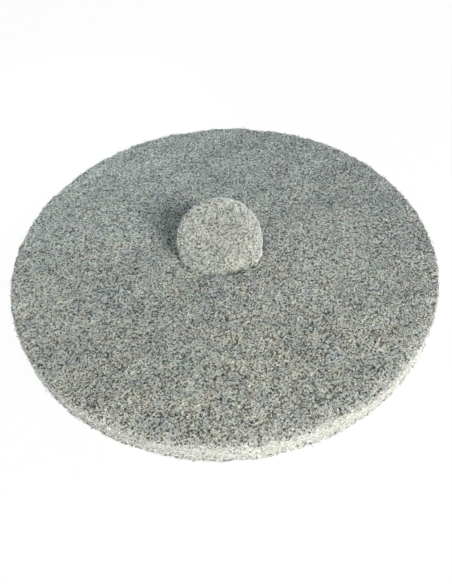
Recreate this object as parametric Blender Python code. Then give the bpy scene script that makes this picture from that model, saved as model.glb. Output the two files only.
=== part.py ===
# A round floor pad of non-woven web, with its die-cut centre plug standing tilted in the hole.
# The plug is the disc that the hole's knife cut out of the same web. It has been pushed up from
# below and leans back: its lower edge is still in the hole, against the wall at the front (-Y).
# Metres, +Z up. The origin is the centre of the pad's flat base.

import math

import bpy
from mathutils import Matrix, Vector, noise
from mathutils.bvhtree import BVHTree

# The web. The diameter is the widest reach of the ragged rim, and the thickness its mean.
PAD_DIAMETER = 0.4064
WEB_THICKNESS = 0.024
OUTER_LIP_RADIUS = 0.0030
BASE_LIP_RADIUS = 0.0008
RIM_BULGE = 0.0003
RIM_RAGGEDNESS = 0.0012
RIM_WAVE_LENGTH = 0.024

# The cut hole, at its narrowest, and the gap that the knife leaves all round the plug
HOLE_DIAMETER = 0.0826
HOLE_RAGGEDNESS = 0.0007
HOLE_LIP_RADIUS = 0.0016
KNIFE_GAP = 0.0003

# How the plug stands
PLUG_TILT = math.radians(49)
PLUG_TURN = math.radians(-5)
PLUG_SINK = 0.0153
PLUG_SIDE_SHIFT = -0.0016
SEAT_GAP = 0.0006
BASE_GAP = 0.0003
BASE_SOFTNESS = 0.0012

# How far from the hole the web gives way to the plug, how softly, and how it fades outward
GIVE_REACH = 0.030
GIVE_SOFTNESS = 0.0006
GIVE_FADE = 1.5

# The uneven face of the web: broad rises, and tufts between them
BROAD_WAVE_LENGTH = 0.085
BROAD_RISE = 0.0009
TUFT_WAVE_LENGTH = 0.021
TUFT_RISE = 0.0012

# Which stretch of the endless unevenness each piece is cut from, and the power by which a cut
# edge's own raggedness fades away from it
PAD_SEED = 2.35
PLUG_SEED = 11.6
RIM_FADE = 6

# How finely the forms are divided
PAD_SEGMENTS = 132
PAD_FACE_RINGS = 18
PAD_RING_CROWDING = 1.15
PLUG_SEGMENTS = 60
PLUG_FACE_RINGS = 7
EVEN_RINGS = 1.0
WALL_RINGS = 5
BASE_RINGS = 3
LIP_STEPS = 2
FOOT_STEPS = 1
SHARP_ANGLE = math.radians(50)

PAD_RADIUS = PAD_DIAMETER / 2
HOLE_RADIUS = HOLE_DIAMETER / 2
PLUG_RADIUS = HOLE_RADIUS - KNIFE_GAP


def clear_scene():
    for obj in list(bpy.data.objects):
        bpy.data.objects.remove(obj)


def web_material(name, colour, roughness):
    material = bpy.data.materials.new(name)
    material.use_nodes = True
    shader = material.node_tree.nodes["Principled BSDF"]
    shader.inputs["Base Color"].default_value = (*colour, 1.0)
    shader.inputs["Roughness"].default_value = roughness
    shader.inputs["Metallic"].default_value = 0.0
    return material


def soft_max(low, value, softness):
    """A smooth value that is never under either of its two arguments."""
    return 0.5 * (low + value + math.hypot(low - value, softness))


def quarter_round(centre_r, centre_z, radius, start, steps):
    """Points of a quarter circle in the (r, z) section, anticlockwise from the start angle."""
    points = []
    for step in range(steps + 1):
        angle = start + 0.5 * math.pi * step / steps
        points.append((centre_r + radius * math.cos(angle), centre_z + radius * math.sin(angle)))
    return points


def steps_between(start, end, count):
    """The points between two (r, z) points, without the two ends."""
    return [
        tuple(a + (b - a) * step / count for a, b in zip(start, end))
        for step in range(1, count)
    ]


def outer_wall(radius):
    """The cut edge of a disc of web, from its base up to its face, with a lip at each end."""
    foot = quarter_round(
        radius - BASE_LIP_RADIUS, BASE_LIP_RADIUS, BASE_LIP_RADIUS, -0.5 * math.pi, FOOT_STEPS
    )
    lip = quarter_round(
        radius - OUTER_LIP_RADIUS, WEB_THICKNESS - OUTER_LIP_RADIUS, OUTER_LIP_RADIUS, 0.0, LIP_STEPS
    )
    return foot + steps_between(foot[-1], lip[0], WALL_RINGS) + lip


def inner_wall(radius):
    """The wall of the hole, from the face down to the base, with a lip at each end."""
    lip = quarter_round(
        radius + HOLE_LIP_RADIUS, WEB_THICKNESS - HOLE_LIP_RADIUS, HOLE_LIP_RADIUS, 0.5 * math.pi, LIP_STEPS
    )
    foot = quarter_round(
        radius + BASE_LIP_RADIUS, BASE_LIP_RADIUS, BASE_LIP_RADIUS, math.pi, FOOT_STEPS
    )
    return lip + steps_between(lip[-1], foot[0], WALL_RINGS) + foot


def rings_across(start, end, count, crowding):
    """The rings between two points of one height, closer together near the end point."""
    rings = []
    for step in range(1, count):
        share = 1 - (1 - step / count) ** crowding
        rings.append((start[0] + (end[0] - start[0]) * share, start[1]))
    return rings


def pad_section():
    """The closed section of the ring, anticlockwise from the outer foot of the base."""
    outside = outer_wall(PAD_RADIUS)
    inside = inner_wall(HOLE_RADIUS)
    face = rings_across(outside[-1], inside[0], PAD_FACE_RINGS, PAD_RING_CROWDING)
    base = rings_across(inside[-1], outside[0], BASE_RINGS, EVEN_RINGS)
    return outside + face + inside + base


def plug_section():
    """The open section of the disc, from its base at the axis to its face at the axis."""
    outside = outer_wall(PLUG_RADIUS)
    face = rings_across(outside[-1], (0.0, WEB_THICKNESS), PLUG_FACE_RINGS, EVEN_RINGS)
    base = rings_across((0.0, 0.0), outside[0], BASE_RINGS, EVEN_RINGS)
    return base + outside + face


def turned(section, segments, closed):
    """Turns a section about Z. An open one starts and ends on the axis, at the web's two faces."""
    points = []
    for radius, height in section:
        for segment in range(segments):
            angle = 2 * math.pi * segment / segments
            points.append(Vector((radius * math.cos(angle), radius * math.sin(angle), height)))
    rows = len(section)
    faces = []
    for row in range(rows if closed else rows - 1):
        low, high = row * segments, (row + 1) % rows * segments
        for segment in range(segments):
            after = (segment + 1) % segments
            faces.append((low + segment, low + after, high + after, high + segment))
    if not closed:
        base_pole, face_pole = len(points), len(points) + 1
        points += [Vector((0, 0, 0)), Vector((0, 0, WEB_THICKNESS))]
        last = (rows - 1) * segments
        for segment in range(segments):
            after = (segment + 1) % segments
            faces.append((base_pole, after, segment))
            faces.append((face_pole, last + segment, last + after))
    return points, faces


def unevenness(point, wave_length, seed):
    """A smooth value from about -1 to 1 that changes over one wave length."""
    return noise.noise(point / wave_length + Vector((seed, seed, seed)))


def rise_at(point, seed):
    """How far the web's face stands over its mean thickness, above one point of the base."""
    flat = Vector((point.x, point.y, 0))
    broad = BROAD_RISE * unevenness(flat, BROAD_WAVE_LENGTH, seed)
    return broad + TUFT_RISE * unevenness(flat, TUFT_WAVE_LENGTH, seed)


def rim_shift(point, radius, raggedness, seed):
    """How far a disc's cut rim draws in at a point: by its raggedness, and by its bulge's ends."""
    share = (math.hypot(point.x, point.y) / radius) ** RIM_FADE
    ragged = raggedness * (0.5 + 0.5 * unevenness(point, RIM_WAVE_LENGTH, seed))
    hollow = RIM_BULGE * (1 - math.sin(math.pi * point.z / WEB_THICKNESS))
    return -share * (ragged + hollow)


def hole_shift(point, seed):
    """How far the cut hole's wall moves outward at a point. The hole only widens."""
    share = (HOLE_RADIUS / math.hypot(point.x, point.y)) ** RIM_FADE
    return share * HOLE_RAGGEDNESS * (0.5 + 0.5 * unevenness(point, RIM_WAVE_LENGTH, seed))


def move_outward(point, shift):
    reach = math.hypot(point.x, point.y)
    if reach:
        point.x *= 1 + shift / reach
        point.y *= 1 + shift / reach


def raise_tufts(points, seed):
    """Makes the face uneven. The base stays flat, and the walls stretch with the face."""
    for point in points:
        point.z *= 1 + rise_at(point, seed) / WEB_THICKNESS


def plug_place():
    """The plug's own frame: its base's centre, tilted back about X and turned about the hole."""
    tilt = Matrix.Rotation(PLUG_TILT, 4, "X")
    low_edge = Vector((0, -PLUG_RADIUS, WEB_THICKNESS))
    seat = Vector((PLUG_SIDE_SHIFT, -(HOLE_RADIUS - SEAT_GAP), WEB_THICKNESS - PLUG_SINK))
    return Matrix.Rotation(PLUG_TURN, 4, "Z") @ Matrix.Translation(seat - tilt @ low_edge) @ tilt


def press_on_base(points, place):
    """Presses the plug's low corner flat on the surface that the pad lies on, as soft web does."""
    back = place.inverted()
    for point in points:
        stood = place @ point
        stood.z = soft_max(BASE_GAP, stood.z, BASE_SOFTNESS)
        point[:] = back @ stood


def plug_reach(point, plug_surface):
    """How far the plug reaches from the Z axis, in the direction and at the height of a point."""
    outward = Vector((point.x, point.y, 0)).normalized()
    start = outward * PAD_RADIUS
    start.z = point.z
    distance = plug_surface.ray_cast(start, -outward, PAD_RADIUS)[3]
    return 0.0 if distance is None else PAD_RADIUS - distance


def give_way(points, plug_surface):
    """Pushes the pad's web outward where the tilted plug presses the hole's wall and lip."""
    for point in points:
        share = max(0.0, 1 - (math.hypot(point.x, point.y) - HOLE_RADIUS) / GIVE_REACH)
        if share:
            needed = plug_reach(point, plug_surface) + SEAT_GAP
            pushed = soft_max(HOLE_RADIUS, needed, GIVE_SOFTNESS) - HOLE_RADIUS
            move_outward(point, pushed * share**GIVE_FADE)


def add_web(name, points, faces, material):
    mesh = bpy.data.meshes.new(name)
    mesh.from_pydata([tuple(point) for point in points], [], faces)
    mesh.validate()
    mesh.shade_smooth()
    mesh.set_sharp_from_angle(angle=SHARP_ANGLE)
    mesh.materials.append(material)
    obj = bpy.data.objects.new(name, mesh)
    bpy.context.scene.collection.objects.link(obj)
    return obj


def centre_plug():
    """Makes the plug and returns its surface as it stands, for the pad's hole to fit round."""
    place = plug_place()
    points, faces = turned(plug_section(), PLUG_SEGMENTS, closed=False)
    for point in points:
        move_outward(point, rim_shift(point, PLUG_RADIUS, HOLE_RAGGEDNESS, PLUG_SEED))
    raise_tufts(points, PLUG_SEED)
    press_on_base(points, place)
    web = web_material("cut_face_web", (0.40, 0.415, 0.37), 0.9)
    plug = add_web("centre_plug", points, faces, web)
    plug.matrix_world = place
    return BVHTree.FromPolygons([place @ point for point in points], faces)


def floor_pad(plug_surface):
    points, faces = turned(pad_section(), PAD_SEGMENTS, closed=True)
    for point in points:
        rim = rim_shift(point, PAD_RADIUS, RIM_RAGGEDNESS, PAD_SEED)
        move_outward(point, rim + hole_shift(point, PAD_SEED))
    raise_tufts(points, PAD_SEED)
    give_way(points, plug_surface)
    web = web_material("grey_web", (0.29, 0.305, 0.285), 0.9)
    add_web("floor_pad", points, faces, web)


def main():
    clear_scene()
    floor_pad(centre_plug())


main()
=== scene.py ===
# Round floor pad of non-woven web with its die-cut plug: the finish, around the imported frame.
# Metres, +Z up. The web is a lumpy body under layers of curled fibres, with grit on them.

import math

import bmesh
import bpy
import numpy as np
from mathutils import Matrix, Vector, noise


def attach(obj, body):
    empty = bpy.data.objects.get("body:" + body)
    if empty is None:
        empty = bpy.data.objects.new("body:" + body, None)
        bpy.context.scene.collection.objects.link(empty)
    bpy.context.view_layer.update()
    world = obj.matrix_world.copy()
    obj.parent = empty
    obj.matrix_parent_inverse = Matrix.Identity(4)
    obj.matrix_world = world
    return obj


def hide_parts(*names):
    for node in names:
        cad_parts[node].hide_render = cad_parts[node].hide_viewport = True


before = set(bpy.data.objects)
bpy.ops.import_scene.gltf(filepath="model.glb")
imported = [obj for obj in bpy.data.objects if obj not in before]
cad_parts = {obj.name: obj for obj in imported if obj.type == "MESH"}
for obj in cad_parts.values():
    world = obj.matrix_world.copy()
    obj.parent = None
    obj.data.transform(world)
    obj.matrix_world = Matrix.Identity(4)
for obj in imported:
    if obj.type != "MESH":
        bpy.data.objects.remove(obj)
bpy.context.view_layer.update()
scene = bpy.context.scene


# Camera: placed by a fit to the photo's outlines
cameraSet = {
    "place": (0.001, -0.320, 0.347),
    "pitchDown": 51.3,              # degrees below the horizon
    "roll": -3.4,                   # degrees
    "focalPixels": 462,
    "frameSize": (452, 584),        # pixels
    "sensor": 36,                   # mm, along the frame's long side
}


def makeCamera(s):
    data = bpy.data.cameras.new("photoCamera")
    data.sensor_width = s["sensor"]
    data.lens = s["sensor"] * s["focalPixels"] / max(s["frameSize"])
    pitch, roll = math.radians(s["pitchDown"]), math.radians(s["roll"])
    forward = Vector((0, math.cos(pitch), -math.sin(pitch)))
    right = Vector((1, 0, 0))
    up = right.cross(forward)
    across = right * math.cos(roll) + up * math.sin(roll)
    above = up * math.cos(roll) - right * math.sin(roll)
    turn = Matrix((across, above, -forward)).transposed().to_4x4()
    camera = bpy.data.objects.new("photoCamera", data)
    camera.matrix_world = Matrix.Translation(s["place"]) @ turn
    scene.collection.objects.link(camera)
    scene.camera = camera


# Nodes: one helper places a node, links its sockets or sets their values
def socketOf(sockets, key):
    if isinstance(key, int):
        return sockets[key]
    return next(socket for socket in sockets if socket.name == key and socket.enabled)


def putNode(tree, kind, place, inputs=None, **settings):
    node = tree.nodes.new(kind)
    node.location = (place[0] * 190, -place[1] * 170)
    for name, value in settings.items():
        setattr(node, name, value)
    for key, value in (inputs or {}).items():
        socket = socketOf(node.inputs, key)
        if isinstance(value, bpy.types.NodeSocket):
            tree.links.new(value, socket)
        else:
            socket.default_value = value
    return node


def outOf(node, key=0):
    return socketOf(node.outputs, key)


def newTree(name, kind, inputs, outputs):
    # inputs and outputs: name -> (socket kind, first value or None)
    tree = bpy.data.node_groups.new(name, kind)
    for side, sockets in (("INPUT", inputs), ("OUTPUT", outputs)):
        for socketName, (socketKind, value) in sockets.items():
            item = tree.interface.new_socket(
                socketName, in_out=side, socket_type="NodeSocket" + socketKind)
            if value is not None:
                item.default_value = value
    return tree


def mathNode(tree, place, operation, a, b=0.0, clamp=False):
    node = putNode(tree, "ShaderNodeMath", place, {0: a, 1: b},
                   operation=operation, use_clamp=clamp)
    return outOf(node)


def mixColours(tree, place, factor, a, b, blend="MIX"):
    node = putNode(tree, "ShaderNodeMix", place, {"Factor": factor, "A": a, "B": b},
                   data_type="RGBA", blend_type=blend)
    return outOf(node, "Result")


def spread(tree, place, value, low, high, toLow=0.0, toHigh=1.0):
    node = putNode(tree, "ShaderNodeMapRange", place,
                   {"Value": value, "From Min": low, "From Max": high, "To Min": toLow,
                    "To Max": toHigh}, interpolation_type="SMOOTHSTEP")
    return outOf(node)


# Shader group: the web's colour, warmer towards one side, with bands, blotches and single beads,
# painted light towards one side and low down, painted glints on single beads, and painted shade
# specks on the foot
toneSet = {
    "bandStretch": (0.35, 1.6, 1.0),    # the bands are drawn out along the first of these
    "bandNoise": (0.75, 1.25),          # where the bands and patches are darkest and lightest
    "bandLight": (0.88, 1.10),          # and their light there
    "blotchNoise": (0.3, 0.7),          # the same for the blotches
    "blotchLight": (0.90, 1.09),
    # Painted light low down, lifting the shade where the plug's face meets the pad; it fades out
    # between these heights
    "paintedLightBelowHeights": (0.020, 0.031),     # Lighter Below fades out between these
    # Painted glints: beads above these are made pale, standing in for the grit's sparkle
    "paintedGlints": (0.92, 0.96),             # only beads above these shine
    "tanByPatch": 0.45,                 # how far patches and single beads sway the tan share
    "tanByBead": 0.5,
    "lilacPerMetre": 130.0,
    "lilacNoise": (0.40, 0.65),         # where pale fibres turn lilac
    "cutByMottle": 1.6,                 # how raggedly the cut's pale fibres begin
    "cutByBead": 1.1,
    "cutFromTo": (0.30, 0.75),
    # Painted shade specks on the foot, for the gaps under its lowest fibres:
    "footHeights": (0.001, 0.004),      # the foot's specks set in between these
    "shadeSpeckNoise": (0.64, 0.70),         # where a mottle is a speck
    "shadeSpeckByHeight": 0.14,              # how many more there are lower down
}


def makeToneGroup(s):
    tree = newTree("webTone", "ShaderNodeTree", {
        "Vector": ("Vector", None),
        "Tone": ("Float", 0.5),             # 0 dark fibre, 1 pale fibre
        # The cut's paleness, which also carries painted light on one side and at the foot, and
        # painted shade on the hole's wall
        "Cut With Painted Light And Shade": ("Float", 0.0),              # 1 on a cut wall
        "Dark": ("Color", (0.15, 0.17, 0.16, 1)),
        "Pale": ("Color", (0.84, 0.94, 0.92, 1)),
        "Lilac": ("Color", (0.88, 0.92, 0.97, 1)),
        "Tan Dark": ("Color", (0.23, 0.18, 0.12, 1)),
        "Tan": ("Color", (0.88, 0.75, 0.53, 1)),
        "Cut Dark": ("Color", (0.70, 0.68, 0.63, 1)),
        "Cut Pale": ("Color", (1.0, 1.0, 0.96, 1)),
        # Painted shade: the colour of the gaps under the foot's lowest fibres
        "Painted Shade Speck": ("Color", (0.24, 0.22, 0.26, 1)),
        "Beads": ("Float", 2.7),            # how much single beads of resin and grit differ
        "Beads per Metre": ("Float", 880.0),
        "Tan Share": ("Float", 0.15),       # at the middle of the pad
        "Tan Towards": ("Vector", (-0.10, -0.95, 0.0)),        # how it grows, per metre
        # Painted light: the colour grows lighter towards one side, standing in for the lamps'
        # fall-off
        "Painted Light Towards": ("Vector", (-0.33, -0.08, 0.0)),    # how the light grows, per metre
        # Painted light low down, where the plug's face meets the pad and lies in shade
        "Painted Light Below": ("Float", 0.0),    # where the plug's face meets the pad
        "Tan Blotches": ("Float", 1.1),
        "Band Angle": ("Float", 0.35),      # radians from +X
        "Patches per Metre": ("Float", 26.0),
        "Blotches per Metre": ("Float", 85.0),
        "Mottles per Metre": ("Float", 330.0),
        # How much painted shade shows in the gaps under the foot
        "Foot Painted Shade": ("Float", 1.0),      # dark gaps under the cut wall's lowest fibres
        "Foot Height": ("Float", 0.010),
    }, {"Color": ("Color", None)})
    given = putNode(tree, "NodeGroupInput", (0, 0))
    vector = outOf(given, "Vector")

    def noiseOf(place, vector, scale, detail):
        node = putNode(tree, "ShaderNodeTexNoise", place,
                       {"Vector": vector, "Scale": scale, "Detail": detail, "Roughness": 0.6})
        return outOf(node, 0)

    def offMiddle(place, value, amount):
        centred = mathNode(tree, place, "SUBTRACT", value, 0.5)
        return mathNode(tree, (place[0] + 1, place[1]), "MULTIPLY", centred, amount)

    turned = putNode(tree, "ShaderNodeVectorRotate", (1, 1),
                     {"Vector": vector, "Angle": outOf(given, "Band Angle")},
                     rotation_type="Z_AXIS", invert=True)
    stretched = putNode(tree, "ShaderNodeVectorMath", (2, 1),
                        {0: outOf(turned), 1: s["bandStretch"]}, operation="MULTIPLY")
    bands = noiseOf((3, 1), outOf(stretched), outOf(given, "Patches per Metre"), 2.0)
    patches = noiseOf((3, 2), vector, outOf(given, "Patches per Metre"), 3.0)
    blotches = noiseOf((3, 3), vector, outOf(given, "Blotches per Metre"), 2.0)
    mottles = noiseOf((3, 7), vector, outOf(given, "Mottles per Metre"), 1.0)
    beads = putNode(tree, "ShaderNodeTexVoronoi", (3, 4),
                    {"Vector": vector, "Scale": outOf(given, "Beads per Metre")})
    bead = putNode(tree, "ShaderNodeSeparateColor", (4, 4), {0: outOf(beads, "Color")})

    ownTone = offMiddle((5, 4), outOf(bead, "Red"), outOf(given, "Beads"))
    # Painted glints on a few single beads
    paintedGlint = spread(tree, (5, 5), outOf(bead, "Blue"), *s["paintedGlints"])
    tone = mathNode(tree, (7, 4), "ADD", outOf(given, "Tone"), ownTone)
    tone = mathNode(tree, (8, 4), "ADD", tone, paintedGlint, clamp=True)

    side = putNode(tree, "ShaderNodeVectorMath", (5, 2),
                   {0: vector, 1: outOf(given, "Tan Towards")}, operation="DOT_PRODUCT")
    tanShare = mathNode(tree, (6, 2), "ADD", outOf(side, "Value"), outOf(given, "Tan Share"))
    sways = ((blotches, outOf(given, "Tan Blotches")), (patches, s["tanByPatch"]),
             (outOf(bead, "Green"), s["tanByBead"]))
    for row, (value, amount) in enumerate(sways):
        last = row == len(sways) - 1
        tanShare = mathNode(tree, (7, row), "ADD", tanShare, offMiddle((4, row), value, amount),
                            clamp=last)

    lilacs = noiseOf((7, 3), vector, s["lilacPerMetre"], 1.0)
    lilacShare = spread(tree, (8, 0), lilacs, *s["lilacNoise"])
    pale = mixColours(tree, (8, 1), lilacShare, outOf(given, "Pale"), outOf(given, "Lilac"))
    grey = mixColours(tree, (9, 0), tone, outOf(given, "Dark"), pale)
    tanTone = mixColours(tree, (9, 2), tone, outOf(given, "Tan Dark"), outOf(given, "Tan"))
    web = mixColours(tree, (10, 0), tanShare, grey, tanTone)

    # Lights and darks, broad and small: random bands and blotches, with painted light towards one
    # side and low down
    both = mathNode(tree, (4, 5), "ADD", bands, patches)
    broad = spread(tree, (6, 5), both, *s["bandNoise"], *s["bandLight"])
    small = spread(tree, (6, 6), blotches, *s["blotchNoise"], *s["blotchLight"])
    # Painted light, growing towards one side
    paintedLight = putNode(tree, "ShaderNodeVectorMath", (5, 7),
                      {0: vector, 1: outOf(given, "Painted Light Towards")}, operation="DOT_PRODUCT")
    broad = mathNode(tree, (7, 7), "ADD", broad, outOf(paintedLight, "Value"))
    height = putNode(tree, "ShaderNodeSeparateXYZ", (7, 6), {0: vector})
    # Painted light low down, lifting the shade where the plug's face meets the pad
    paintedLightBelow = spread(tree, (8, 9), outOf(height, "Z"), *s["paintedLightBelowHeights"],
                   outOf(given, "Painted Light Below"), 0.0)
    broad = mathNode(tree, (9, 9), "ADD", broad, paintedLightBelow)
    lights = mathNode(tree, (7, 5), "MULTIPLY", broad, small)
    web = mixColours(tree, (11, 0), 1.0, web, lights, "MULTIPLY")

    # The cut's pale fibres begin bead by bead
    ragged = offMiddle((4, 8), mottles, s["cutByMottle"])
    ownCut = offMiddle((7, 8), outOf(bead, "Green"), s["cutByBead"])
    cutShare = mathNode(tree, (6, 8), "ADD", outOf(given, "Cut With Painted Light And Shade"), ragged)
    cutShare = mathNode(tree, (9, 8), "ADD", cutShare, ownCut)
    cutShare = spread(tree, (10, 8), cutShare, *s["cutFromTo"])
    cutTone = mixColours(tree, (10, 2), tone, outOf(given, "Cut Dark"), outOf(given, "Cut Pale"))
    colour = mixColours(tree, (12, 0), cutShare, web, cutTone)

    # Painted shade: dark specks for the gaps under the foot's lowest fibres, on the foot only, more
    # of them lower down, and none in its very lowest fibres
    low = spread(tree, (8, 6), outOf(height, "Z"), s["footHeights"][0],
                 outOf(given, "Foot Height"), 1.0, 0.0)
    foot = spread(tree, (8, 7), outOf(height, "Z"), *s["footHeights"])
    more = mathNode(tree, (9, 7), "MULTIPLY", low, s["shadeSpeckByHeight"])
    shadeGaps = mathNode(tree, (9, 6), "ADD", mottles, more)
    shadeGaps = spread(tree, (10, 6), shadeGaps, *s["shadeSpeckNoise"])
    shadeGaps = mathNode(tree, (11, 7), "MULTIPLY", shadeGaps, foot)
    shadeSpeck = mathNode(tree, (11, 6), "MULTIPLY", shadeGaps, outOf(given, "Foot Painted Shade"))
    onFoot = mathNode(tree, (11, 8), "GREATER_THAN", low, 0.0)
    shadeSpeck = mathNode(tree, (12, 6), "MULTIPLY", shadeSpeck, onFoot)
    colour = mixColours(tree, (13, 0), shadeSpeck, colour, outOf(given, "Painted Shade Speck"))
    putNode(tree, "NodeGroupOutput", (14, 0), {"Color": colour})
    return tree


# Shader group: thin curled lines, where slow noises cross their middle value
curlSet = {
    "noises": ((1.0, 0.0), (0.8, 3.7), (1.3, 8.1)),   # each one's scale and shift
    "detail": 0.6,
    "underRelief": 0.6,                               # how much higher the first two lie
}


def makeCurlGroup(s):
    tree = newTree("curledLines", "ShaderNodeTree", {
        "Vector": ("Vector", None),
        "Lines per Metre": ("Float", 260.0),
        "Width": ("Float", 0.045),
    }, {"Lines": ("Float", None), "Height": ("Float", None)})
    given = putNode(tree, "NodeGroupInput", (0, 0))
    layers = []
    for row, (scale, shift) in enumerate(s["noises"]):
        moved = putNode(tree, "ShaderNodeVectorMath", (1, row),
                        {0: outOf(given, "Vector"), 1: (shift, shift, shift)}, operation="ADD")
        perMetre = mathNode(tree, (1, row + 3), "MULTIPLY", outOf(given, "Lines per Metre"), scale)
        slow = putNode(tree, "ShaderNodeTexNoise", (2, row),
                       {"Vector": outOf(moved), "Scale": perMetre, "Detail": s["detail"]})
        off = mathNode(tree, (3, row), "SUBTRACT", outOf(slow, 0), 0.5)
        off = mathNode(tree, (4, row), "ABSOLUTE", off)
        layers.append(spread(tree, (5, row), off, 0.0, outOf(given, "Width"), 1.0, 0.0))
    two = mathNode(tree, (6, 0), "MAXIMUM", layers[0], layers[1])
    lines = mathNode(tree, (7, 0), "MAXIMUM", two, layers[2])
    raised = mathNode(tree, (7, 1), "MULTIPLY", two, s["underRelief"])
    height = mathNode(tree, (8, 1), "ADD", lines, raised)
    putNode(tree, "NodeGroupOutput", (9, 0), {"Lines": lines, "Height": height})
    return tree


# Finishes. What is left out of a finish's colours keeps the group's own.
bodyLook = {
    "linesPerMetre": 780.0,
    "width": 0.07,
    # Painted shade: the body between the lines is near black, for the shade deep in the web
    "gapShadeTone": 0.02,                # the web's tone between the lines, and on them
    "lineTone": 0.85,
    "relief": 0.0008,
    "dullest": 0.95,                # roughness between the lines, and on them
    "glossiest": 0.65,
    "shine": 0.3,
}
fibreLook = {"dullest": 0.85, "glossiest": 0.5, "shine": 0.35}
gritLook = {"dark": (0.55, 0.57, 0.55, 1), "pale": (0.95, 0.95, 0.92, 1), "cloudsPerMetre": 900.0,
            "roughness": 0.22, "shine": 0.7}
# The pad's body darker than any fibre: painted shade deep in the web
padBodyShadeColours = {"Dark": (0.06, 0.065, 0.06, 1)}
# The plug's web, paler than the pad's same web: partly a creamier face, partly painted light on a
# face turned to the lamps, with near-white cut colours as a painted highlight on its rim
plugPaintedLitColours = {
    "Dark": (0.33, 0.375, 0.34, 1),
    "Pale": (0.91, 0.96, 0.945, 1),
    "Lilac": (0.92, 0.96, 0.965, 1),
    "Tan Dark": (0.44, 0.405, 0.31, 1),
    "Tan": (0.95, 0.92, 0.745, 1),
    "Cut Dark": (0.93, 0.93, 0.93, 1),
    "Cut Pale": (1.0, 1.0, 1.0, 1),
    "Tan Share": 0.30,
    "Tan Towards": (0.0, 0.0, 0.0),
    # Painted light on the plug's face, lighter towards its top and right as if lit from there
    "Painted Light Towards": (1.2, 2.0, 0.0),
    # Painted light on the plug's lowest face, against the shade of the hole's lip
    "Painted Light Below": 0.42,
    # No painted shade specks on the plug's foot
    "Foot Painted Shade": 0.0,
}
# The plug's body keeps the plug's painted light, and is darker than its fibres as painted shade
# deep in the web
plugBodyLitAndShadeColours = dict(plugPaintedLitColours, Dark=(0.22, 0.23, 0.20, 1))


def newMaterial(name):
    material = bpy.data.materials.new(name)
    material.use_nodes = True
    tree = material.node_tree
    return material, tree, tree.nodes["Principled BSDF"]


def putGroup(tree, group, place, inputs):
    return putNode(tree, "ShaderNodeGroup", place, inputs, node_tree=group)


def webBodyMaterial(name, groups, colours, s):
    material, tree, shader = newMaterial(name)
    coordinates = putNode(tree, "ShaderNodeTexCoord", (-6, 0))
    cutWithPaintedLightAndShade = putNode(tree, "ShaderNodeAttribute", (-6, 2), attribute_name="cutWithPaintedLightAndShade")
    vector = outOf(coordinates, "Object")
    curls = putGroup(tree, groups["curls"], (-5, 0),
                     {"Vector": vector, "Lines per Metre": s["linesPerMetre"], "Width": s["width"]})
    tone = spread(tree, (-4, 0), outOf(curls, "Lines"), 0.0, 1.0, s["gapShadeTone"], s["lineTone"])
    web = putGroup(tree, groups["tone"], (-3, 0),
                   {"Vector": vector, "Tone": tone, "Cut With Painted Light And Shade": outOf(cutWithPaintedLightAndShade, "Fac"), **colours})
    bump = putNode(tree, "ShaderNodeBump", (-2, 2),
                   {"Height": outOf(curls, "Height"), "Distance": s["relief"], "Strength": 1.0})
    roughness = spread(tree, (-2, 1), outOf(curls, "Lines"), 0.0, 1.0, s["dullest"], s["glossiest"])
    tree.links.new(outOf(web, "Color"), shader.inputs["Base Color"])
    tree.links.new(roughness, shader.inputs["Roughness"])
    tree.links.new(outOf(bump), shader.inputs["Normal"])
    shader.inputs["Specular IOR Level"].default_value = s["shine"]
    return material


def fibreMaterial(name, groups, colours, s):
    material, tree, shader = newMaterial(name)
    coordinates = putNode(tree, "ShaderNodeTexCoord", (-6, 0))
    cutWithPaintedLightAndShade = putNode(tree, "ShaderNodeAttribute", (-6, 2), attribute_name="cutWithPaintedLightAndShade")
    tone = putNode(tree, "ShaderNodeAttribute", (-6, 1), attribute_name="tone")
    web = putGroup(tree, groups["tone"], (-3, 0),
                   {"Vector": outOf(coordinates, "Object"), "Tone": outOf(tone, "Fac"),
                    "Cut With Painted Light And Shade": outOf(cutWithPaintedLightAndShade, "Fac"), **colours})
    roughness = spread(tree, (-2, 1), outOf(tone, "Fac"), 0.0, 1.0, s["dullest"], s["glossiest"])
    tree.links.new(outOf(web, "Color"), shader.inputs["Base Color"])
    tree.links.new(roughness, shader.inputs["Roughness"])
    shader.inputs["Specular IOR Level"].default_value = s["shine"]
    return material


def gritMaterial(name, s):
    material, tree, shader = newMaterial(name)
    coordinates = putNode(tree, "ShaderNodeTexCoord", (-4, 0))
    cloud = putNode(tree, "ShaderNodeTexNoise", (-3, 0),
                    {"Vector": outOf(coordinates, "Object"), "Scale": s["cloudsPerMetre"],
                     "Detail": 0.0})
    colour = mixColours(tree, (-2, 0), outOf(cloud, 0), s["dark"], s["pale"])
    tree.links.new(colour, shader.inputs["Base Color"])
    shader.inputs["Roughness"].default_value = s["roughness"]
    shader.inputs["Specular IOR Level"].default_value = s["shine"]
    return material


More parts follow.
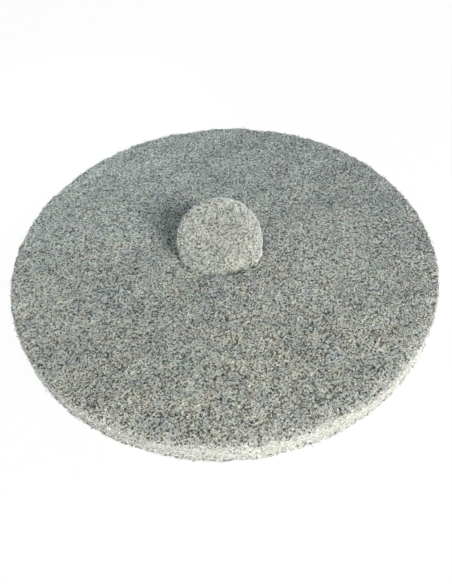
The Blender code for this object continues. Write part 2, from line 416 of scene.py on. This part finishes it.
# Web bodies: each CAD solid's copy, remeshed evenly, with lumps and a measure of its cut walls,
# whose paleness also carries painted light and painted shade
bothBodySet = {
    "merge": 1e-6,                                # the CAD's loose corners within this are one
    "wallFrom": (1.6, -0.3),                      # slope and start of the measure of a wall
    # Painted light: the pale cut is more on the side it faces
    "paintedLitSideFrom": (2.4, -1.3),                    # the same for the side of the pale fibres
    "ragged": (0.85, 0.9, 0.009),                 # the pale edge's mean, swing and wave length
    "raggedSeed": 20,                             # added to the body's own seed
    "innerShare": 0.5,                            # of the radius: a wall inside it is the hole's
    "rimFrom": (0.010, 1.2),                      # the outer 12 mm take part in the foot's spread
    "lowest": 0.0003,
}
padBodySet = {
    "node": "floor_pad",
    "grid": 0.0021,                               # size of the even mesh
    "lumps": ((0.013, 0.0008), (0.0046, 0.0006)),  # wave lengths and heights
    # The cut wall's pale colour, rising towards one side as painted light
    "wallCutWithPaintedLight": (0.66, 1.1),                       # how pale the cut wall is
    "edgeReach": (0.0030, 0.0100),                # how far its pale fibres run inward
    "edgePaleWithPaintedLight": (0.25, 0.85),                   # each from its least to its most
    "paintedLitSideTowards": (0.45, -0.89),                 # the side where they reach furthest
    # Painted shade: the hole's wall kept darker than the outer cut
    "innerCutPaintedShade": 0.3,                              # how pale the hole's wall is
    # Painted light: the foot made paler, standing in for light bounced from the white floor
    "footPaintedBounce": (1.2, 0.011),                      # how pale the foot is, and how high up
    "footSpread": (0.0018, 0.007),                # how far its fibres stand out, and how high up
    "seed": 4.4,
}
plugBodySet = {
    "node": "centre_plug",
    "grid": 0.0017,
    "lumps": ((0.013, 0.0005), (0.0046, 0.0007)),
    # On the plug, a pale rim only towards its top and right: a painted highlight on the rim
    "wallCutWithPaintedLight": (0.3, 1.2),
    "edgeReach": (0.0014, 0.0044),
    "edgePaleWithPaintedLight": (0.0, 1.5),
    "paintedLitSideTowards": (1.30, 1.38),
    "innerCutPaintedShade": 1.0,
    "footPaintedBounce": (0.0, 0.011),
    "footSpread": (0.0, 0.007),
    "seed": 9.7,
}


def discAxis(points):
    # A disc's points spread least along its own axis
    centred = points - (points.min(0) + points.max(0)) / 2
    values, vectors = np.linalg.eigh(centred.T @ centred)
    axis = vectors[:, 0]
    return axis * (1 if axis[2] > 0 else -1)


def noiseAt(points, waveLength, seed):
    shift = Vector((seed, seed, seed))
    return np.array([noise.noise(Vector(point) / waveLength + shift) for point in points])


def makeWebBody(name, s, both, material):
    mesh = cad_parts[s["node"]].data.copy()
    mesh.materials.clear()
    merged = bmesh.new()
    merged.from_mesh(mesh)
    bmesh.ops.remove_doubles(merged, verts=merged.verts, dist=both["merge"])
    merged.to_mesh(mesh)
    merged.free()
    body = bpy.data.objects.new(name, mesh)
    scene.collection.objects.link(body)
    remesh = body.modifiers.new("evenMesh", "REMESH")
    remesh.mode = "VOXEL"
    remesh.voxel_size = s["grid"]
    evaluated = body.evaluated_get(bpy.context.evaluated_depsgraph_get())
    even = bpy.data.meshes.new_from_object(evaluated)
    body.modifiers.remove(remesh)
    body.data = even

    count = len(even.vertices)
    points, normals = np.empty(count * 3), np.empty(count * 3)
    even.vertices.foreach_get("co", points)
    even.vertices.foreach_get("normal", normals)
    points, normals = points.reshape(-1, 3), normals.reshape(-1, 3)

    # How much of a wall each point is, and how pale the cut is there: paler towards one side and at
    # the foot as painted light, darker on the hole's wall as painted shade
    axis = discAxis(points)
    offset = points - (points.min(0) + points.max(0)) / 2
    flat = offset - np.outer(offset @ axis, axis)
    across = np.linalg.norm(flat, axis=1)
    outward = flat / np.maximum(across, 1e-6)[:, None]
    slope, start = both["wallFrom"]
    wall = np.clip(slope * (1 - np.abs(normals @ axis)) + start, 0, 1)
    # Painted light: how far each point faces the lit side
    slope, start = both["paintedLitSideFrom"]
    paintedLitSide = np.clip(slope * (outward[:, :2] @ np.array(s["paintedLitSideTowards"])) + start, 0, 1)

    def fromTo(key):
        return s[key][0] + (s[key][1] - s[key][0]) * paintedLitSide

    def nearFoot(key):
        return s[key][0] * np.exp(-(points[:, 2] / s[key][1]) ** 2)

    mean, swing, waveLength = both["ragged"]
    ragged = mean + swing * noiseAt(points, waveLength, s["seed"] + both["raggedSeed"])
    edge = fromTo("edgePaleWithPaintedLight") * np.exp((across - across.max()) / fromTo("edgeReach")) * ragged
    # Painted bounce light makes the foot paler
    outer = np.maximum(fromTo("wallCutWithPaintedLight"), nearFoot("footPaintedBounce"))
    # Painted shade on the hole's wall
    paleness = np.where(across > both["innerShare"] * across.max(), outer, s["innerCutPaintedShade"])
    cutWithPaintedLightAndShade = np.clip(np.maximum(wall * paleness, edge), 0, 1)
    for attribute, values in (("cutWithPaintedLightAndShade", cutWithPaintedLightAndShade), ("wall", wall)):
        data = even.attributes.new(attribute, "FLOAT", "POINT").data
        data.foreach_set("value", values.astype(np.float32))

    # Lumps all over, and a foot whose fibres stand out
    for waveLength, height in s["lumps"]:
        points = points + normals * (height * noiseAt(points, waveLength, s["seed"]))[:, None]
    reach, start = both["rimFrom"]
    rim = np.clip((across - across.max()) / reach + start, 0, 1)
    points += outward * (rim * nearFoot("footSpread"))[:, None]
    points[:, 2] = np.maximum(points[:, 2], both["lowest"])
    even.vertices.foreach_set("co", points.ravel())
    even.update()
    even.shade_smooth()
    even.materials.clear()
    even.materials.append(material)
    print(name, len(even.polygons), "faces")
    return body


# Fibres: arcs scattered over a web body, each bent its own way, as closed three-sided tubes
def makeFibreTree():
    tree = newTree("webFibres", "GeometryNodeTree", {
        "Geometry": ("Geometry", None),
        "Per Square Metre": ("Float", 50000.0),
        "Underside Share": ("Float", 1.0),    # how dense the underside is, against the rest
        "Wall From": ("Float", -1.0),         # fibres grow where the measure of a wall is
        "Wall To": ("Float", 2.0),            # between these
        "Curl Radius": ("Float", 0.00105),
        "Sweep": ("Float", 3.0),              # radians of the arc
        "Points": ("Int", 4),
        "Thickness": ("Float", 0.0005),
        "Smallest": ("Float", 0.6),
        "Largest": ("Float", 1.4),
        "Rise": ("Float", 0.0003),            # above the surface
        "Tilt": ("Float", 0.5),               # radians out of the surface, at most
        "Warp": ("Float", 0.0012),            # how far a fibre is bent off its arc
        "Warps per Metre": ("Float", 260.0),
        "Tone From": ("Float", 0.0),
        "Tone To": ("Float", 1.0),
        "Lowest": ("Float", 0.0004),
        "Seed": ("Int", 1),
        "Material": ("Material", None),
    }, {"Geometry": ("Geometry", None)})
    given = putNode(tree, "NodeGroupInput", (0, 0))

    def value(name):
        return outOf(given, name)

    wall = putNode(tree, "GeometryNodeInputNamedAttribute", (1, 1), {"Name": "wall"},
                   data_type="FLOAT")
    above = putNode(tree, "FunctionNodeCompare", (2, 1),
                    {"A": outOf(wall, "Attribute"), "B": value("Wall From")},
                    data_type="FLOAT", operation="GREATER_THAN")
    under = putNode(tree, "FunctionNodeCompare", (2, 2),
                    {"A": outOf(wall, "Attribute"), "B": value("Wall To")},
                    data_type="FLOAT", operation="LESS_EQUAL")
    chosen = putNode(tree, "FunctionNodeBooleanMath", (3, 1), {0: outOf(above), 1: outOf(under)},
                     operation="AND")
    normal = putNode(tree, "GeometryNodeInputNormal", (1, 3))
    parts = putNode(tree, "ShaderNodeSeparateXYZ", (2, 3), {0: outOf(normal)})
    down = spread(tree, (3, 3), outOf(parts, "Z"), -0.9, -0.8,      # the underside looks down
                  value("Underside Share"), 1.0)
    density = mathNode(tree, (4, 2), "MULTIPLY", down, value("Per Square Metre"))
    scattered = putNode(tree, "GeometryNodeDistributePointsOnFaces", (5, 0),
                        {"Mesh": value("Geometry"), "Selection": outOf(chosen),
                         "Density": density, "Seed": value("Seed")}, distribute_method="RANDOM")
    lift = putNode(tree, "ShaderNodeVectorMath", (6, 1),
                   {0: outOf(scattered, "Normal"), "Scale": value("Rise")}, operation="SCALE")
    lifted = putNode(tree, "GeometryNodeSetPosition", (7, 0),
                     {"Geometry": outOf(scattered, "Points"), "Offset": outOf(lift)})
    arc = putNode(tree, "GeometryNodeCurveArc", (6, 3),
                  {"Resolution": value("Points"), "Radius": value("Curl Radius"),
                   "Sweep Angle": value("Sweep")}, mode="RADIUS")
    least = mathNode(tree, (5, 4), "MULTIPLY", value("Tilt"), -1.0)
    lowTurn = putNode(tree, "ShaderNodeCombineXYZ", (6, 4), {0: least, 1: least, 2: -math.pi})
    highTurn = putNode(tree, "ShaderNodeCombineXYZ", (6, 5),
                       {0: value("Tilt"), 1: value("Tilt"), 2: math.pi})
    turn = putNode(tree, "FunctionNodeRandomValue", (7, 4),
                   {"Min": outOf(lowTurn), "Max": outOf(highTurn), "Seed": value("Seed")},
                   data_type="FLOAT_VECTOR")
    turn = putNode(tree, "FunctionNodeEulerToRotation", (8, 4), {0: outOf(turn, "Value")})
    turned = putNode(tree, "FunctionNodeRotateRotation", (9, 3),
                     {"Rotation": outOf(scattered, "Rotation"), "Rotate By": outOf(turn)},
                     rotation_space="LOCAL")
    size = putNode(tree, "FunctionNodeRandomValue", (9, 5),
                   {"Min": value("Smallest"), "Max": value("Largest"), "Seed": value("Seed")},
                   data_type="FLOAT")
    placed = putNode(tree, "GeometryNodeInstanceOnPoints", (10, 0),
                     {"Points": outOf(lifted), "Instance": outOf(arc, "Curve"),
                      "Rotation": outOf(turned), "Scale": outOf(size, "Value")})
    tone = putNode(tree, "FunctionNodeRandomValue", (10, 2),
                   {"Min": value("Tone From"), "Max": value("Tone To"), "Seed": value("Seed")},
                   data_type="FLOAT")
    toned = putNode(tree, "GeometryNodeStoreNamedAttribute", (11, 0),
                    {"Geometry": outOf(placed), "Name": "tone", "Value": outOf(tone, "Value")},
                    data_type="FLOAT", domain="INSTANCE")
    drift = putNode(tree, "FunctionNodeRandomValue", (11, 2),
                    {"Min": (0, 0, 0), "Max": (1, 1, 1), "Seed": value("Seed")},
                    data_type="FLOAT_VECTOR")
    drifted = putNode(tree, "GeometryNodeStoreNamedAttribute", (12, 0),
                      {"Geometry": outOf(toned), "Name": "drift", "Value": outOf(drift, "Value")},
                      data_type="FLOAT_VECTOR", domain="INSTANCE")
    curves = putNode(tree, "GeometryNodeRealizeInstances", (13, 0), {"Geometry": outOf(drifted)})
    place = putNode(tree, "GeometryNodeInputPosition", (12, 2))
    ownDrift = putNode(tree, "GeometryNodeInputNamedAttribute", (12, 3), {"Name": "drift"},
                       data_type="FLOAT_VECTOR")
    sample = putNode(tree, "ShaderNodeVectorMath", (13, 2),
                     {0: outOf(place), 1: outOf(ownDrift, "Attribute")}, operation="ADD")
    bends = putNode(tree, "ShaderNodeTexNoise", (14, 2),
                    {"Vector": outOf(sample), "Scale": value("Warps per Metre"), "Detail": 1.0})
    centred = putNode(tree, "ShaderNodeVectorMath", (15, 2),
                      {0: outOf(bends, "Color"), 1: (0.5, 0.5, 0.5)}, operation="SUBTRACT")
    warp = mathNode(tree, (15, 3), "MULTIPLY", value("Warp"), 4.0)     # the noise swings by 1/4
    shift = putNode(tree, "ShaderNodeVectorMath", (16, 2), {0: outOf(centred), "Scale": warp},
                    operation="SCALE")
    bent = putNode(tree, "GeometryNodeSetPosition", (17, 0),
                   {"Geometry": outOf(curves), "Offset": outOf(shift)})
    now = putNode(tree, "ShaderNodeSeparateXYZ", (17, 2),
                  {0: outOf(putNode(tree, "GeometryNodeInputPosition", (16, 4)))})
    high = mathNode(tree, (18, 3), "MAXIMUM", outOf(now, "Z"), value("Lowest"))
    kept = putNode(tree, "ShaderNodeCombineXYZ", (19, 2),
                   {0: outOf(now, "X"), 1: outOf(now, "Y"), 2: high})
    rested = putNode(tree, "GeometryNodeSetPosition", (20, 0),
                     {"Geometry": outOf(bent), "Position": outOf(kept)})
    radius = mathNode(tree, (20, 3), "MULTIPLY", value("Thickness"), 0.5)
    profile = putNode(tree, "GeometryNodeCurvePrimitiveCircle", (21, 2),
                      {"Resolution": 3, "Radius": radius}, mode="RADIUS")
    tubes = putNode(tree, "GeometryNodeCurveToMesh", (22, 0),
                    {"Curve": outOf(rested), "Profile Curve": outOf(profile, "Curve"),
                     "Fill Caps": True})
    smooth = putNode(tree, "GeometryNodeSetShadeSmooth", (23, 0), {"Geometry": outOf(tubes)})
    real = putNode(tree, "GeometryNodeRealizeInstances", (24, 0), {"Geometry": outOf(smooth)})
    painted = putNode(tree, "GeometryNodeSetMaterial", (25, 0),
                      {"Geometry": outOf(real), "Material": value("Material")})
    putNode(tree, "NodeGroupOutput", (26, 0), {"Geometry": outOf(painted)})
    return tree


# Grit: small crystals stuck to the fibres
gritSet = {"Per Square Metre": 16000.0, "Size": 0.00045, "Seed": 31}


def makeGritTree():
    tree = newTree("gritOnFibres", "GeometryNodeTree", {
        "Geometry": ("Geometry", None),
        "Per Square Metre": ("Float", 9000.0),
        "Size": ("Float", 0.0005),
        "Shape": ("Vector", (0.9, 0.7, 0.6)),
        "Smallest": ("Float", 0.6),
        "Largest": ("Float", 1.3),
        "Seed": ("Int", 3),
        "Material": ("Material", None),
    }, {"Geometry": ("Geometry", None)})
    given = putNode(tree, "NodeGroupInput", (0, 0))
    scattered = putNode(tree, "GeometryNodeDistributePointsOnFaces", (1, 0),
                        {"Mesh": outOf(given, "Geometry"), "Seed": outOf(given, "Seed"),
                         "Density": outOf(given, "Per Square Metre")}, distribute_method="RANDOM")
    crystal = putNode(tree, "GeometryNodeMeshCube", (1, 2), {"Size": outOf(given, "Shape")})
    turn = putNode(tree, "FunctionNodeRandomValue", (2, 2),
                   {"Min": (-3.1, -3.1, -3.1), "Max": (3.1, 3.1, 3.1),     # radians, any way round
                    "Seed": outOf(given, "Seed")}, data_type="FLOAT_VECTOR")
    size = putNode(tree, "FunctionNodeRandomValue", (2, 3),
                   {"Min": outOf(given, "Smallest"), "Max": outOf(given, "Largest")},
                   data_type="FLOAT")
    size = mathNode(tree, (3, 3), "MULTIPLY", outOf(size, "Value"), outOf(given, "Size"))
    turn = putNode(tree, "FunctionNodeEulerToRotation", (3, 2), {0: outOf(turn, "Value")})
    placed = putNode(tree, "GeometryNodeInstanceOnPoints", (4, 0),
                     {"Points": outOf(scattered, "Points"), "Instance": outOf(crystal, "Mesh"),
                      "Rotation": outOf(turn), "Scale": size})
    real = putNode(tree, "GeometryNodeRealizeInstances", (5, 0), {"Geometry": outOf(placed)})
    painted = putNode(tree, "GeometryNodeSetMaterial", (6, 0),
                      {"Geometry": outOf(real), "Material": outOf(given, "Material")})
    putNode(tree, "NodeGroupOutput", (7, 0), {"Geometry": outOf(painted)})
    return tree


def growOn(name, surface, tree, values):
    # A piece grown on another piece's surface by a tree, as a plain mesh
    piece = bpy.data.objects.new(name, surface.data)
    scene.collection.objects.link(piece)
    grower = piece.modifiers.new(tree.name, "NODES")
    grower.node_group = tree
    for item in tree.interface.items_tree:
        if item.name in values and item.in_out == "INPUT":
            grower[item.identifier] = values[item.name]
    evaluated = piece.evaluated_get(bpy.context.evaluated_depsgraph_get())
    grown = bpy.data.meshes.new_from_object(evaluated)
    piece.modifiers.remove(grower)
    piece.data = grown
    triangles = sum(len(face.vertices) - 2 for face in grown.polygons)
    print(name, triangles, "triangles")
    return piece


# Layers of fibres. What is left out of a layer's values keeps the tree's own. The deeper a layer
# lies, the darker its tones: painted shade in the web.
topOnly = {"Wall To": 0.55, "Underside Share": 0.0}
layerSets = {
    "padFibresDeep": dict(topOnly, **{
        "Per Square Metre": 74000.0, "Rise": 0.0000, "Tilt": 0.25, "Thickness": 0.00054,
        "Tone From": 0.15, "Tone To": 0.7, "Seed": 11}),
    "padFibresMiddle": dict(topOnly, **{
        "Per Square Metre": 74000.0, "Rise": 0.0004, "Tilt": 0.45, "Thickness": 0.00048,
        "Tone From": 0.3, "Tone To": 0.9, "Seed": 12}),
    "padFibresTop": dict(topOnly, **{
        "Per Square Metre": 74000.0, "Rise": 0.0007, "Tilt": 0.5, "Thickness": 0.00042,
        "Tone From": 0.45, "Tone To": 1.1, "Seed": 13}),
    "padStrands": dict(topOnly, **{
        "Per Square Metre": 4500.0, "Rise": 0.0009, "Tilt": 0.15, "Thickness": 0.00042,
        "Curl Radius": 0.0055, "Sweep": 1.6, "Points": 8,
        "Tone From": 0.7, "Tone To": 1.2, "Seed": 15}),
    "padFibresWall": {
        "Per Square Metre": 180000.0, "Wall From": 0.55, "Rise": 0.0002, "Tilt": 0.4,
        "Thickness": 0.00046, "Tone From": 0.2, "Tone To": 1.0, "Seed": 14},
}
plugLayerSets = {
    "plugFibresFace": {
        "Per Square Metre": 145000.0, "Wall To": 0.55, "Rise": 0.0003, "Tilt": 0.4,
        "Warp": 0.0008, "Thickness": 0.00046, "Tone From": 0.2, "Tone To": 1.0, "Seed": 21},
    "plugFibresWall": {
        "Per Square Metre": 190000.0, "Wall From": 0.55, "Rise": 0.0, "Tilt": 0.2,
        "Warp": 0.0005, "Thickness": 0.00044, "Tone From": 0.2, "Tone To": 1.1, "Seed": 22},
}


# Floor, world and lamps
stageSet = {
    "floorSize": 12.0,
    "floorColour": (0.95, 0.95, 0.95, 1),
    "floorRoughness": 0.9,
    "whiteShare": 0.96,             # how much of the floor's look is plain white to the camera
    "worldLevel": 0.375,
    "worldColour": (0.90, 0.985, 1.0, 1),
}
lampSets = {
    "keyLamp": {"from": (0.78, -0.75, 0.76), "at": (0, 0, 0.02),
                "size": 0.42, "watts": 15.8, "colour": (1.0, 0.985, 0.93)},
    "fillLamp": {"from": (-0.28, 0.37, 0.21), "at": (-0.13, 0.14, 0.02),
                 "size": 0.25, "watts": 0.80, "colour": (0.80, 0.95, 1.0)},
    # On the near wall, hardly on the upper face
    "lowLamp": {"from": (-0.30, -1.0, 0.08), "at": (0, -0.2, 0.01),
                "size": 0.15, "watts": 3.9, "colour": (1.0, 0.99, 0.95)},
}


def seenOnly(tree, place):
    # 1 for rays that show the backdrop as it is, and 0 for rays that carry its light
    path = putNode(tree, "ShaderNodeLightPath", place)
    seen = mathNode(tree, (place[0] + 1, place[1]), "ADD",
                    outOf(path, "Is Camera Ray"), outOf(path, "Is Glossy Ray"))
    return mathNode(tree, (place[0] + 2, place[1]), "ADD", seen,
                    outOf(path, "Is Transmission Ray"), clamp=True)


def makeStage(s):
    half = s["floorSize"] / 2
    mesh = bpy.data.meshes.new("floor")
    mesh.from_pydata([(-half, -half, 0), (half, -half, 0), (half, half, 0), (-half, half, 0)],
                     [], [(0, 1, 2, 3)])
    floor = bpy.data.objects.new("floor", mesh)
    scene.collection.objects.link(floor)
    material, tree, shader = newMaterial("paleFloor")
    shader.inputs["Base Color"].default_value = s["floorColour"]
    shader.inputs["Roughness"].default_value = s["floorRoughness"]
    white = putNode(tree, "ShaderNodeEmission", (0, 2), {"Color": (1, 1, 1, 1), "Strength": 1.0})
    share = mathNode(tree, (0, 1), "MULTIPLY", seenOnly(tree, (-4, 1)), s["whiteShare"])
    mixed = putNode(tree, "ShaderNodeMixShader", (2, 0),
                    {0: share, 1: outOf(shader), 2: outOf(white)})
    tree.links.new(outOf(mixed), tree.nodes["Material Output"].inputs["Surface"])
    mesh.materials.append(material)

    world = bpy.data.worlds.new("softDaylight")
    scene.world = world
    world.use_nodes = True
    tree = world.node_tree
    light = tree.nodes["Background"]
    light.inputs["Color"].default_value = s["worldColour"]
    light.inputs["Strength"].default_value = s["worldLevel"]
    white = putNode(tree, "ShaderNodeBackground", (0, 2), {"Color": (1, 1, 1, 1), "Strength": 1.0})
    mixed = putNode(tree, "ShaderNodeMixShader", (2, 0),
                    {0: seenOnly(tree, (-4, 1)), 1: outOf(light), 2: outOf(white)})
    tree.links.new(outOf(mixed), tree.nodes["World Output"].inputs["Surface"])


def makeLamp(name, s):
    data = bpy.data.lights.new(name, "AREA")
    data.shape = "DISK"
    data.size = s["size"]
    data.energy = s["watts"]
    data.color = s["colour"]
    lamp = bpy.data.objects.new(name, data)
    place = Vector(s["from"])
    lamp.matrix_world = Matrix.Translation(place) @ (
        (Vector(s["at"]) - place).to_track_quat("-Z", "Y").to_matrix().to_4x4())
    scene.collection.objects.link(lamp)


makeCamera(cameraSet)
makeStage(stageSet)
for lampName, lampSet in lampSets.items():
    makeLamp(lampName, lampSet)
scene.view_settings.view_transform = "Standard"
print("camera, floor and lamps")

groups = {"tone": makeToneGroup(toneSet), "curls": makeCurlGroup(curlSet)}
padFinish = webBodyMaterial("webBody", groups, padBodyShadeColours, bodyLook)
fibreFinish = fibreMaterial("webFibre", groups, {}, fibreLook)
plugFinish = webBodyMaterial("plugBody", groups, plugBodyLitAndShadeColours, bodyLook)
plugFibreFinish = fibreMaterial("plugFibre", groups, plugPaintedLitColours, fibreLook)
gritFinish = gritMaterial("gritCrystal", gritLook)
print("finishes")

padWeb = makeWebBody("padWeb", padBodySet, bothBodySet, padFinish)
plugWeb = makeWebBody("plugWeb", plugBodySet, bothBodySet, plugFinish)
fibreTree = makeFibreTree()
pieces = {}
for layerName, layerSet in layerSets.items():
    pieces[layerName] = growOn(layerName, padWeb, fibreTree, dict(layerSet, Material=fibreFinish))
for layerName, layerSet in plugLayerSets.items():
    pieces[layerName] = growOn(layerName, plugWeb, fibreTree,
                               dict(layerSet, Material=plugFibreFinish))
pieces["padGrit"] = growOn("padGrit", pieces["padFibresTop"], makeGritTree(),
                           dict(gritSet, Material=gritFinish))
print("fibres and grit")

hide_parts("floor_pad")
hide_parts("centre_plug")
for body in (padWeb, plugWeb, *pieces.values()):
    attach(body, "root")
